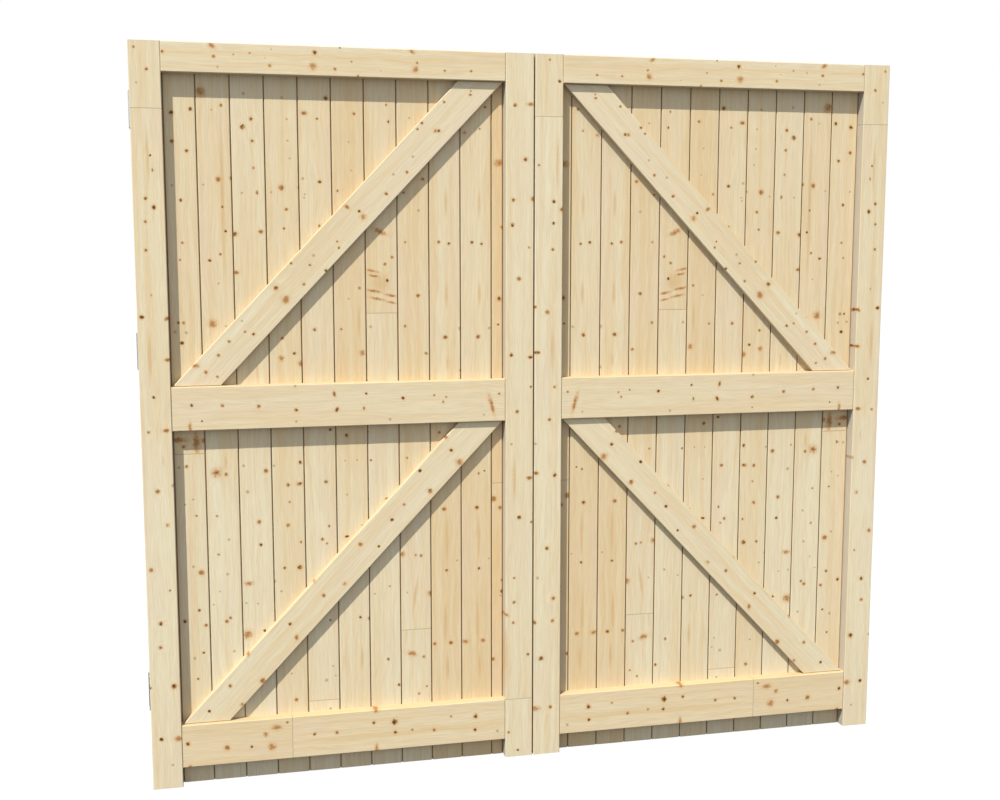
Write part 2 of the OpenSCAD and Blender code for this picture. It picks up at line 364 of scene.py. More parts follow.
@dataclass(frozen=True)
class PineColors:
    """Colours of planed pine, as linear shares of light.

    Attributes:
        early: Pale wood between the rings.
        late: The rings.
        warm: Warmer wood of the same board.
        rosy: Pinkish patches.
        edge: Narrow upright faces, which are cut across the rings.
        top: Painted shade on upper faces: a darker, yellower tone for how the strong sun falls on them.
        halo: Stained wood round a knot.
        rim: Outer part of a knot.
        core: Heart of a knot.
        pin: Small knots.
        soft: Knots that are only a stain.
        streak: Tan streaks.
        seam: Glue line of a joint.
        end: End grain.
        groove_shade: Dusty wood inside the joints between boards.
        bounce: What light that bounces about between the pieces sees of the wood.
    """

    early: Color = (0.85, 0.75, 0.54, 1.0)
    late: Color = (0.76, 0.53, 0.29, 1.0)
    warm: Color = (0.80, 0.60, 0.35, 1.0)
    rosy: Color = (0.82, 0.66, 0.50, 1.0)
    edge: Color = (0.62, 0.57, 0.49, 1.0)
    top: Color = (0.70, 0.51, 0.28, 1.0)
    halo: Color = (0.74, 0.43, 0.17, 1.0)
    rim: Color = (0.47, 0.22, 0.06, 1.0)
    core: Color = (0.13, 0.055, 0.015, 1.0)
    pin: Color = (0.42, 0.26, 0.12, 1.0)
    soft: Color = (0.46, 0.21, 0.065, 1.0)
    streak: Color = (0.70, 0.45, 0.21, 1.0)
    seam: Color = (0.36, 0.26, 0.15, 1.0)
    end: Color = (0.64, 0.47, 0.28, 1.0)
    # groove_shade: Painted shade inside the joints between boards, where the gaps fall dark.
    groove_shade: Color = (0.21, 0.13, 0.06, 1.0)
    bounce: Color = (0.51, 0.37, 0.18, 1.0)


@dataclass(frozen=True)
class PineShares:
    """How strongly each part of the figure shows, from 0 to 1.

    Attributes:
        late: The rings.
        hair: Thin tan lines.
        rosy: Pinkish patches.
        edge: Greyer tone on narrow upright faces.
        top: Painted shade on upper faces, darker and yellower.
        streak: Placed streaks.
        halo: Stain round a knot.
        soft: A knot that is only a stain.
        pin: A small knot.
        rim: Outer part of a knot.
        end: End grain's tone.
        seam: A glue line.
        groove_shade: Painted shade inside the joints.
        beyond: Warmer tone after each glued joint.
        soft_flaw: Flaws in a knot that is only a stain.
        ring_hard: Hardness of a ring against that of a knot.
        seam_sunk: Height of a glue line, against the fibres'.
        gloss: Specular level of the wood.
    """

    late: float = 0.18
    hair: float = 0.2
    rosy: float = 0.4
    edge: float = 0.8
    top: float = 0.75
    streak: float = 0.62
    halo: float = 0.42
    soft: float = 0.95
    pin: float = 0.7
    rim: float = 0.92
    end: float = 0.45
    seam: float = 0.55
    groove_shade: float = 0.8
    beyond: float = 0.08
    soft_flaw: float = 0.6
    ring_hard: float = 0.4
    seam_sunk: float = -1.5
    gloss: float = 0.3


@dataclass(frozen=True)
class PineFigure:
    """Sizes of the figure in pine, in mm or for each mm.

    A noise is given by its scale, or by its scales along and across the grain, and its detail.

    Attributes:
        ragged: Noise in the outline of a knot.
        ragged_reach: How far it moves that outline.
        flaw: Noise of dark and light parts inside a knot.
        vary: Noise that makes some knots paler than others.
        wander: Noise of the rings' straying from round.
        wander_reach: How far they stray.
        sway: Noise of the stripes' swaying from straight.
        sway_reach: How far they sway.
        stripe: Noise of the soft stripes.
        hair: Noise of the thin tan lines.
        fibre: Noise of the fine fibres.
        cloud: Noise of the patches of colour.
        pith_aside: How far aside of the piece's middle the pith may lie.
        pith_depth: How deep the pith lies, at least and at most.
        taper: How far the pith may slope along the grain.
        ring_width: Width of a ring, at least and at most.
        seeds: Span that a piece's own part of the noises is taken from.
        seed_step: How far apart the parts of neighbouring seeds lie.
        seam_half: Half of the width of a glue line, outside and inside its soft edge.
        tone_change: Where along the grain the near end's tone starts to change, and is the far end's.
        outer_edge: Distance of the pair's outer edges from the meeting line, just within them.
    """

    ragged: Pair = (0.12, 2.0)
    ragged_reach: float = 5.0
    flaw: Pair = (0.13, 1.0)
    vary: Pair = (0.02, 0.0)
    wander: Triple = (0.0022, 0.012, 1.0)
    wander_reach: float = 26.0
    sway: Triple = (0.006, 0.016, 1.0)
    sway_reach: float = 24.0
    stripe: Triple = (0.0016, 0.06, 3.0)
    hair: Triple = (0.005, 0.33, 1.0)
    fibre: Triple = (0.018, 0.5, 2.0)
    cloud: Triple = (0.0025, 0.011, 2.0)
    pith_aside: float = 45.0
    pith_depth: Pair = (25.0, 60.0)
    taper: float = 0.012
    ring_width: Pair = (5.0, 9.0)
    seeds: Pair = (1.0, 40.0)
    seed_step: float = 37.7
    seam_half: Pair = (1.6, 0.4)
    tone_change: Pair = (750.0, 1150.0)
    outer_edge: float = 1140.0


@dataclass(frozen=True)
class PineSpans:
    """Where each effect starts and is full, and, where there are four numbers, its results there.

    Distances to a mark are counted in that mark's own size.

    Attributes:
        end: Facing along the grain that makes end grain.
        edge: Facing sideways that makes a narrow upright face.
        top: Facing up that gets the painted shade of an upper face.
        rise: Part of a ring in which it darkens.
        fall: Part of a ring in which it ends.
        hair: Noise that makes a thin tan line.
        push: Distance to a knot, and how far the rings bend round it, in mm.
        vary: Noise, and the strength of a knot's core.
        flaw: Noise, and how far it moves the parts of a knot.
        core: Distance at which a knot's core shows.
        rim: Distance at which a knot's rim shows.
        streak: Distance at which a streak shows.
        halo: Distance at which the stain round a knot shows.
        soft: Distance at which a soft knot shows.
        pin: Distance at which a small knot shows.
        warm: Noise of the stripes, and the share of warmer wood that it adds.
        rosy: Noise that makes a pinkish patch.
        shade: Noise of the fibres, and how bright it makes the wood.
        rough: Hardness of the wood, and its roughness.
        grit: Noise of the fibres, and the roughness that it adds.
    """

    end: Span = (0.6, 0.95)
    edge: Span = (0.75, 0.95)
    top: Span = (0.4, 0.8)
    rise: Span = (0.45, 0.9)
    fall: Span = (1.0, 0.92)
    hair: Span = (0.6, 0.78)
    push: Span = (4.0, 0.5, 0.0, 9.0)
    vary: Span = (0.38, 0.58, 0.3, 1.0)
    flaw: Span = (0.3, 0.7, -0.45, 0.45)
    core: Span = (0.8, 0.15)
    rim: Span = (1.0, 0.55)
    streak: Span = (1.0, 0.2)
    halo: Span = (2.0, 0.7)
    soft: Span = (1.2, 0.2)
    pin: Span = (1.6, 0.3)
    warm: Span = (0.3, 0.75, -0.22, 0.42)
    rosy: Span = (0.45, 0.75)
    shade: Span = (0.25, 0.75, 0.935, 1.055)
    rough: Span = (0.0, 1.0, 0.66, 0.46)
    grit: Span = (0.2, 0.8, -0.05, 0.05)


COLORS = PineColors()
SHARES = PineShares()
FIGURE = PineFigure()
SPANS = PineSpans()
PINE_BUMP = {"Strength": 0.35, "Distance": 0.0006}
PLATING_BUMP = {"Strength": 0.06, "Distance": 0.0002}


class PineEffects:
    """The shared node groups that pine materials are put together from."""

    def __init__(self) -> None:
        """Makes each group once."""
        self.axes = self.make_axes()
        self.mark = self.make_mark()
        self.seam = self.make_seam()
        self.grain = self.make_grain()
        self.knots = self.make_knots()
        self.tone = self.make_tone()

    def make_axes(self) -> SharedGroup:
        """Makes the group that turns object space into mm along and across the grain.

        Returns:
            The group.
        """
        group = SharedGroup(
            "grain axes",
            Kind.VECTOR.named("Place", "Normal", "Run", "Side")
            | Kind.VALUE.named("Middle", "Groove half"),
            Kind.VECTOR.named("Point") | Kind.VALUE.named("Along", "Across", "Through", *FACINGS),
        )
        graph, given = group.graph, group.given
        place = graph.split(given["Place"])
        away = graph.size(place["X"])
        point = graph.vector("MULTIPLY", graph.combine(away, place["Y"], place["Z"]), (MM_PER_M,) * 3)
        shake = graph.vector("SUBTRACT", graph.noise(point, *FIGURE.ragged)["Color"], (NOISE_MIDDLE,) * 3)
        facing = graph.split(given["Normal"])
        outward = graph.product(facing["X"], graph.math("SIGN", place["X"]))
        mirrored = graph.combine(outward, 0.0, facing["Z"])
        end = graph.ramp(graph.size(graph.measure("DOT_PRODUCT", mirrored, given["Run"])), *SPANS.end)
        through = graph.product(place["Y"], MM_PER_M)
        inset = graph.size(graph.math("SUBTRACT", through, given["Middle"]))
        inside = graph.math("LESS_THAN", inset, given["Groove half"])
        edge = graph.ramp(graph.size(facing["X"]), *SPANS.edge)
        group.give(
            Point=graph.vector("MULTIPLY_ADD", shake, (FIGURE.ragged_reach,) * 3, point),
            Along=graph.measure("DOT_PRODUCT", point, given["Run"]),
            Across=graph.measure("DOT_PRODUCT", point, given["Side"]),
            Through=through,
            End=end,
            Edge=graph.product(edge, graph.math("LESS_THAN", away, FIGURE.outer_edge / MM_PER_M)),
            # Mask of upper faces, for their painted shade.
            Top=graph.ramp(facing["Z"], *SPANS.top),
            # Mask of the faces inside the joints between boards, for painted shade there.
            Groove=graph.product(inside, graph.math("SUBTRACT", 1.0, end)),
        )
        return group

    def make_mark(self) -> SharedGroup:
        """Makes the group that keeps the distance to the nearest mark, counted in that mark's own size.

        Returns:
            The group.
        """
        group = SharedGroup(
            "nearest mark",
            Kind.VECTOR.named("Point", "Scale", "Shift") | Kind.VALUE.named("Nearest"),
            Kind.VALUE.named("Nearest"),
        )
        graph, given = group.graph, group.given
        local = graph.vector("MULTIPLY_ADD", given["Point"], given["Scale"], given["Shift"])
        group.give(Nearest=graph.math("MINIMUM", given["Nearest"], graph.measure("LENGTH", local)))
        return group

    def make_seam(self) -> SharedGroup:
        """Makes the group that draws a glued joint across a piece and changes the grain beyond it.

        Returns:
            The group.
        """
        inputs, outputs = Kind.VALUE.named("Along", "Place"), Kind.VALUE.named("Line", "Beyond")
        group = SharedGroup("glued seam", inputs | outputs, outputs)
        graph, given = group.graph, group.given
        apart = graph.math("SUBTRACT", given["Along"], given["Place"])
        group.give(
            Line=graph.math("MAXIMUM", given["Line"], graph.ramp(graph.size(apart), *FIGURE.seam_half)),
            Beyond=graph.total(given["Beyond"], graph.math("GREATER_THAN", apart, 0.0)),
        )
        return group

    def make_grain(self) -> SharedGroup:
        """Makes the group for growth rings round a pith, stripes, thin lines, fibres and patches.

        Returns:
            The group.
        """
        rings = ("Push", "Pith", "Depth", "Taper", "Ring", "Seed")
        inputs = Kind.VALUE.named("Along", "Across", "Through", *rings)
        group = SharedGroup("pine grain", inputs, Kind.VALUE.named(*GRAIN))
        graph, given = group.graph, group.given
        seed = graph.product(given["Seed"], FIGURE.seed_step)

        def stretched(noise: Triple, place: Feed = given["Across"]) -> Socket:
            """Gives a noise with its own scale along and across the grain.

            Args:
                noise: Scale along the grain, scale across it, and detail.
                place: Place across the grain.

            Returns:
                The noise.
            """
            along, across, detail = noise
            long = graph.math("MULTIPLY_ADD", given["Along"], along, seed)
            wide = graph.product(place, across)
            deep = graph.math("MULTIPLY_ADD", given["Through"], across, seed)
            return graph.noise(graph.combine(long, wide, deep), 1.0, detail)["Fac"]

        wander = graph.math("SUBTRACT", stretched(FIGURE.wander), NOISE_MIDDLE)
        sway = graph.math("SUBTRACT", stretched(FIGURE.sway), NOISE_MIDDLE)
        swayed = graph.math("MULTIPLY_ADD", sway, FIGURE.sway_reach, given["Across"])
        depth = graph.math("MULTIPLY_ADD", given["Along"], given["Taper"], given["Depth"])
        aside = graph.math("SUBTRACT", given["Across"], given["Pith"])
        inward = graph.math("SUBTRACT", given["Through"], depth)
        radius = graph.measure("LENGTH", graph.combine(aside, inward, 0.0))
        bent = graph.total(radius, graph.product(wander, FIGURE.wander_reach), given["Push"])
        turn = graph.math("FRACT", graph.math("DIVIDE", bent, given["Ring"]))
        group.give(
            Late=graph.product(graph.ramp(turn, *SPANS.rise), graph.ramp(turn, *SPANS.fall)),
            Figure=stretched(FIGURE.stripe, swayed),
            Hair=graph.ramp(stretched(FIGURE.hair, swayed), *SPANS.hair),
            Fibre=stretched(FIGURE.fibre, swayed),
            Cloud=stretched(FIGURE.cloud),
        )
        return group

    def make_knots(self) -> SharedGroup:
        """Makes the group that paints streaks, stains and knots over the wood.

        Returns:
            The group.
        """
        group = SharedGroup(
            "pine knots",
            Kind.COLOR.named("Color") | Kind.VALUE.named("Vary", "Flaw", *LOOKS),
            Kind.COLOR.named("Color") | Kind.VALUE.named("Core"),
        )
        graph, given = group.graph, group.given
        tight, small, stain, line = (given[look] for look in LOOKS)
        flaw = graph.ramp(given["Flaw"], *SPANS.flaw)
        core = graph.ramp(graph.total(tight, flaw), *SPANS.core)
        rim = graph.ramp(tight, *SPANS.rim, 0.0, SHARES.rim)
        stained = graph.math("MINIMUM", tight, stain)
        flawed = graph.math("MULTIPLY_ADD", flaw, SHARES.soft_flaw, stain)
        color = graph.paint(
            given["Color"],
            (graph.ramp(line, *SPANS.streak, 0.0, SHARES.streak), COLORS.streak),
            (graph.ramp(stained, *SPANS.halo, 0.0, SHARES.halo), COLORS.halo),
            (graph.ramp(flawed, *SPANS.soft, 0.0, SHARES.soft), COLORS.soft),
            (graph.ramp(small, *SPANS.pin, 0.0, SHARES.pin), COLORS.pin),
            (rim, COLORS.rim),
            (graph.product(core, graph.ramp(given["Vary"], *SPANS.vary)), COLORS.core),
        )
        group.give(Color=color, Core=rim)
        return group

    def make_tone(self) -> SharedGroup:
        """Makes the group that colours the wood and gives its roughness and height.

        Returns:
            The group.
        """
        values = (*GRAIN, *LOOKS, *FACINGS, "Line", "Beyond", "Warmth")
        group = SharedGroup(
            "pine tone",
            Kind.VECTOR.named("Point") | Kind.VALUE.named(*values),
            Kind.COLOR.named("Color") | Kind.VALUE.named("Roughness", "Height"),
        )
        graph, given = group.graph, group.given
        stripes = graph.ramp(given["Figure"], *SPANS.warm)
        warm = graph.total(given["Warmth"], stripes, graph.product(given["Beyond"], SHARES.beyond))
        share = graph.math("MINIMUM", graph.math("MAXIMUM", warm, 0.0), 1.0)
        wood = graph.paint(
            COLORS.early,
            (share, COLORS.warm),
            (graph.ramp(given["Cloud"], *SPANS.rosy, 0.0, SHARES.rosy), COLORS.rosy),
            (graph.product(given["Late"], SHARES.late), COLORS.late),
            (graph.product(given["Hair"], SHARES.hair), COLORS.streak),
            (graph.product(given["Edge"], SHARES.edge), COLORS.edge),
            # Painted shade: upper faces take a darker, yellower tone for how the sun falls on them.
            (graph.product(given["Top"], SHARES.top), COLORS.top),
        )
        feeds = {look: given[look] for look in LOOKS}
        feeds["Vary"] = graph.noise(given["Point"], *FIGURE.vary)["Fac"]
        feeds["Flaw"] = graph.noise(given["Point"], *FIGURE.flaw)["Fac"]
        knots = self.knots.place(graph, Color=wood, **feeds)
        color = graph.paint(
            knots["Color"],
            (graph.product(given["End"], SHARES.end), COLORS.end),
            (graph.product(given["Line"], SHARES.seam), COLORS.seam),
            # Painted shade inside the joints between boards.
            (graph.product(given["Groove"], SHARES.groove_shade), COLORS.groove_shade),
        )
        shade = graph.ramp(given["Fibre"], *SPANS.shade)
        hard = graph.math("MAXIMUM", knots["Core"], graph.product(given["Late"], SHARES.ring_hard))
        grit = graph.ramp(given["Fibre"], *SPANS.grit)
        group.give(
            Color=graph.mix(1.0, color, graph.combine(shade, shade, shade), "MULTIPLY"),
            Roughness=graph.total(graph.ramp(hard, *SPANS.rough), grit),
            Height=graph.total(given["Fibre"], graph.product(given["Line"], SHARES.seam_sunk)),
        )
        return group


@dataclass(frozen=True)
class Timber:
    """One piece of pine: its grain, its tone and the marks in its face.

    Attributes:
        name: The node's name without its side, or with it for a piece that differs between the sides.
        run: How its grain runs.
        warmth: Share of the warmer tone at the foot or near end, and at the head or far end.
        seams: Places of glued joints along the grain, in mm.
        marks: Knots and streaks.
        groove_half: Half of the thickness that lies within the joints between boards, in mm, or 0.
    """

    name: str
    run: Run
    warmth: Pair
    seams: tuple[float, ...] = ()
    marks: tuple[Mark, ...] = ()
    groove_half: float = 0.0

    def material(self, effects: PineEffects, node: str) -> Material:
        """Makes the material of this piece.

        Args:
            effects: The shared groups.
            node: CAD node that the piece is, for its place.

        Returns:
            The material.
        """
        material, graph = start_material(f"pine_{self.name}")
        coords = graph.add("ShaderNodeTexCoord").outputs
        low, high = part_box(node)
        middle = (low + high) / 2 * MM_PER_M
        feeds = {"Middle": middle.y, "Groove half": self.groove_half}
        feeds |= {"Run": self.run.value, "Side": self.run.across()}
        axes = effects.axes.place(graph, Place=coords["Object"], Normal=coords["Normal"], **feeds)
        near = self.place_marks(effects, graph, axes["Point"])
        line, beyond = self.place_seams(effects, graph, axes["Along"])
        bend = graph.ramp(graph.math("MINIMUM", near[Look.TIGHT], near[Look.SOFT]), *SPANS.push)
        spot = Vector((abs(middle.x), 0.0, middle.z)).dot(Vector(self.run.across()))
        grain = self.place_grain(effects, graph, axes, spot, bend, beyond)
        feeds = {look.value: value for look, value in near.items()}
        feeds |= {label: grain[label] for label in GRAIN}
        feeds |= {label: axes[label] for label in ("Point", *FACINGS)}
        warmth = graph.ramp(axes["Along"], *FIGURE.tone_change, *self.warmth)
        tone = effects.tone.place(graph, Line=line, Beyond=beyond, Warmth=warmth, **feeds)
        bounced = graph.add("ShaderNodeLightPath").outputs["Is Diffuse Ray"]
        shader = dress_shader(graph, graph.mix(bounced, tone["Color"], COLORS.bounce), tone, PINE_BUMP)
        shader.inputs["Specular IOR Level"].default_value = SHARES.gloss
        return material

    def place_marks(self, effects: PineEffects, graph: Graph, point: Feed) -> dict[Look, Feed]:
        """Chains the marks of each kind.

        Args:
            effects: The shared groups.
            graph: The material's graph.
            point: Point on the surface, in mm.

        Returns:
            Distance to the nearest mark of each kind.
        """
        near: dict[Look, Feed] = dict.fromkeys(Look, FAR_AWAY)
        for mark in self.marks:
            level, upright = mark.level(), mark.upright()
            spot = point
            if mark.turn:
                aside = graph.measure("DOT_PRODUCT", point, tuple(level))
                above = graph.measure("DOT_PRODUCT", point, tuple(upright))
                spot = graph.combine(aside, 0.0, above)
            place = Vector((mark.x, 0.0, mark.z))
            wide, tall = 1.0 / mark.wide, 1.0 / (mark.tall or mark.wide)
            near[mark.look] = effects.mark.place(
                graph,
                Point=spot,
                Nearest=near[mark.look],
                Scale=(wide, 0.0, tall),
                Shift=(-place.dot(level) * wide, 0.0, -place.dot(upright) * tall),
            )["Nearest"]
        return near

    def place_seams(self, effects: PineEffects, graph: Graph, along: Feed) -> tuple[Feed, Feed]:
        """Chains the glued joints.

        Args:
            effects: The shared groups.
            graph: The material's graph.
            along: Place along the grain, in mm.

        Returns:
            The joint lines, and how many joints lie before this place.
        """
        line: Feed = 0.0
        beyond: Feed = 0.0
        for place in self.seams:
            seam = effects.seam.place(graph, Along=along, Place=place, Line=line, Beyond=beyond)
            line, beyond = seam["Line"], seam["Beyond"]
        return line, beyond

    def place_grain(
        self, effects: PineEffects, graph: Graph, axes: Outputs, spot: float, bend: Feed, beyond: Feed,
    ) -> Outputs:
        """Places the grain group with rings of this piece's own.

        Args:
            effects: The shared groups.
            graph: The material's graph.
            axes: Outputs of the grain axes.
            spot: Place of the piece's middle across the grain, in mm.
            bend: How far knots bend the rings, in mm.
            beyond: How many joints lie before a place.

        Returns:
            The group's outputs.
        """
        chance = random.Random(self.name)
        return effects.grain.place(
            graph,
            Along=axes["Along"],
            Across=axes["Across"],
            Through=axes["Through"],
            Push=bend,
            Pith=spot + chance.uniform(-FIGURE.pith_aside, FIGURE.pith_aside),
            Depth=chance.choice((-1.0, 1.0)) * chance.uniform(*FIGURE.pith_depth),
            Taper=chance.uniform(-FIGURE.taper, FIGURE.taper),
            Ring=chance.uniform(*FIGURE.ring_width),
            Seed=graph.total(beyond, chance.uniform(*FIGURE.seeds)),
        )


def board(number: int, warmth: Pair, seams: tuple[float, ...], marks: tuple[Mark, ...]) -> Timber:
    """Makes an upright board, with joints on both sides."""
    return Timber(f"board_{number}", Run.UPRIGHT, warmth, seams, marks, GROOVE_HALF)


BOARDS = (
    board(1, (0.34, 0.4), (983,), (
        Mark(1034, 1945, 7), Mark(982, 1955, 6), Mark(1034, 1867, 6), Mark(995, 1841, 6),
        Mark(1015, 1705, 5), Mark(1014, 1586, 4), Mark(1022, 1538, 4), Mark(1018, 1360, 5),
        Mark(1032, 1361, 4), Mark(1024, 1303, 6), Mark(1028, 1005, 6), Mark(1022, 947, 5),
        Mark(998, 801, 4), Mark(989, 633, 9), Mark(998, 521, 5), Mark(1040, 491, 6), Mark(980, 474, 6),
        Mark(989, 392, 4), Mark(1007, 314, 4), pin(1038, 1746), pin(1042, 1335, 4), pin(1011, 1332, 4),
        pin(1044, 945, 4), pin(1029, 836), pin(1006, 850), pin(1011, 652, 4), pin(1015, 377, 4),
        soft(1040, 1025, 25, 8), soft(992, 1015, 10, 28), soft(972, 1022, 8),
    )),
    board(2, (0.0, 0.5), (), (
        Mark(898, 1968, 5), Mark(911, 1764, 8), Mark(875, 1768, 6), Mark(901, 1687, 4),
        Mark(894, 1619, 4), Mark(941, 1537, 5), Mark(911, 1554, 4), Mark(938, 926, 5),
        Mark(911, 920, 6), Mark(940, 798, 4), Mark(939, 684, 4), Mark(920, 482, 6), Mark(910, 492, 5),
        pin(925, 1955), pin(953, 1748), pin(918, 1472), pin(901, 1350), pin(908, 727, 4),
        pin(915, 624, 4), pin(938, 573), pin(957, 535), pin(901, 390, 4), soft(955, 2004, 15),
        soft(938, 1358, 12), soft(938, 926, 13), streak(911, 955, 6, 32), streak(900, 1700, 9, 330),
    )),
    board(3, (0.05, 0.4), (), (
        Mark(817, 1932, 6), Mark(841, 1910, 8), Mark(815, 1871, 5), Mark(813, 1796, 4),
        Mark(804, 1727, 4, 7), Mark(869, 1611, 8), Mark(796, 1617, 7), Mark(868, 1502, 9, 6),
        Mark(797, 926, 7), Mark(820, 775, 7), Mark(817, 706, 5), Mark(811, 446, 5), pin(836, 2002, 4),
        pin(847, 1726), pin(861, 943, 4), pin(851, 866, 5), pin(863, 533), pin(829, 530),
        soft(854, 592, 12, 7), soft(861, 438, 13), streak(816, 1218, 5, 34),
    )),
    board(4, (0.48, 0.55), (), (
        Mark(736, 1742, 9), Mark(687, 1743, 4), Mark(723, 1681, 5), Mark(731, 1627, 4),
        Mark(742, 1312, 5), Mark(708, 1268, 5), Mark(698, 947, 6), Mark(734, 881, 6),
        Mark(701, 883, 9, 6), Mark(731, 830, 4), Mark(737, 761, 6), Mark(700, 708, 4),
        Mark(749, 633, 5), Mark(705, 632, 8), Mark(781, 594, 5), Mark(723, 226, 6), pin(730, 1993, 4),
        pin(717, 1934), pin(716, 1874), pin(711, 1825), pin(765, 1729), pin(774, 940), pin(760, 563),
        pin(735, 308), soft(746, 1254, 8), soft(690, 1238, 9),
    )),
    board(5, (0.16, 0.42), (218,), (
        Mark(606, 1995, 7), Mark(668, 1952, 10, 6), Mark(632, 1937, 4), Mark(627, 1760, 6),
        Mark(630, 1635, 5), Mark(649, 1336, 6), Mark(609, 1041, 5), Mark(624, 886, 6),
        Mark(617, 752, 4), Mark(637, 713, 5), Mark(624, 700, 4), Mark(617, 465, 4), pin(675, 1768, 4),
        pin(670, 1724), pin(672, 1715), pin(612, 322), pin(604, 292), pin(632, 280, 5),
        pin(622, 190, 4),
    )),
    board(6, (0.35, 0.8), (), (
        Mark(527, 1953, 5), Mark(577, 1734, 4), Mark(517, 1455, 5), Mark(572, 1336, 4),
        Mark(561, 1022, 6), Mark(565, 718, 7, 4), Mark(528, 468, 5), Mark(500, 463, 6), pin(543, 1873),
        pin(536, 1793), pin(549, 1425), pin(566, 947), pin(531, 948), pin(562, 845), pin(519, 750),
        soft(511, 1265, 8), streak(520, 1355, 6, 65), streak(524, 345, 5, 55),
    )),
    board(7, (0.22, 0.52), (1381,), (
        Mark(433, 1980, 4), Mark(427, 1933, 4), Mark(421, 1544, 5), Mark(442, 1524, 5),
        Mark(435, 1476, 5), Mark(490, 945, 4), Mark(499, 1030, 4), Mark(444, 827, 5), Mark(445, 331, 5),
        Mark(412, 248, 5), pin(486, 1342, 4), pin(438, 558, 4), pin(483, 537),
        soft(455, 1618, 20, 7, 25), soft(480, 1505, 18, 4, 12), soft(475, 1490, 14, 4, 10),
        soft(474, 1446, 22, 4, 12), soft(466, 1423, 22, 4, 12), soft(425, 1433, 16, 4, 10),
        soft(424, 1412, 14, 3, 10), streak(455, 1470, 36, 40),
    )),
    board(8, (0.3, 0.62), (418,), (
        Mark(328, 1932, 5), Mark(328, 1770, 6), Mark(385, 1731, 4), Mark(381, 1588, 4),
        Mark(345, 1431, 6), Mark(384, 1342, 5), Mark(322, 1260, 5), Mark(382, 948, 4),
        Mark(358, 650, 4), Mark(342, 647, 5), Mark(336, 331, 5), Mark(327, 236, 4), Mark(351, 215, 4),
        pin(366, 1945), pin(341, 1680, 4), pin(385, 535), soft(398, 654, 8), soft(314, 528, 9),
        soft(372, 343, 15, 8, 20), streak(360, 525, 7, 75, 8),
    )),
    board(9, (0.8, 0.5), (), (
        Mark(282, 1588, 5), Mark(252, 1583, 5), Mark(264, 1307, 7), Mark(218, 1207, 4),
        Mark(283, 1022, 5), Mark(270, 787, 7), Mark(263, 597, 5), Mark(302, 369, 6), Mark(251, 369, 7),
        pin(218, 1333, 6), pin(231, 626), streak(260, 1435, 7, 50), streak(258, 1230, 6, 32),
        streak(260, 1700, 7, 55), streak(262, 690, 8, 95), streak(268, 430, 7, 90),
        streak(262, 290, 9, 60),
    )),
    board(10, (0.85, 0.52), (), (
        Mark(142, 1981, 5), Mark(158, 1918, 4), Mark(182, 1587, 5), Mark(153, 1583, 5),
        Mark(164, 1307, 7), Mark(163, 892, 4), Mark(145, 900, 3), Mark(169, 787, 7), Mark(163, 597, 5),
        Mark(151, 369, 7), pin(130, 1333, 4), pin(131, 626), soft(203, 1906, 6), soft(205, 369, 10, 7),
        streak(160, 1435, 7, 50), streak(160, 1700, 7, 55), streak(163, 690, 8, 95),
        streak(168, 430, 7, 90), streak(162, 290, 9, 60),
    )),
    board(11, (0.95, 0.8), (860,), (
        Mark(90, 1632, 6), Mark(99, 1420, 8), Mark(103, 1343, 4), Mark(117, 812, 10), Mark(97, 783, 7),
        Mark(90, 556, 5), Mark(90, 521, 7), Mark(86, 450, 6, 10), Mark(119, 307, 7), pin(96, 508),
        soft(100, 1820, 14, 10),
    )),
)

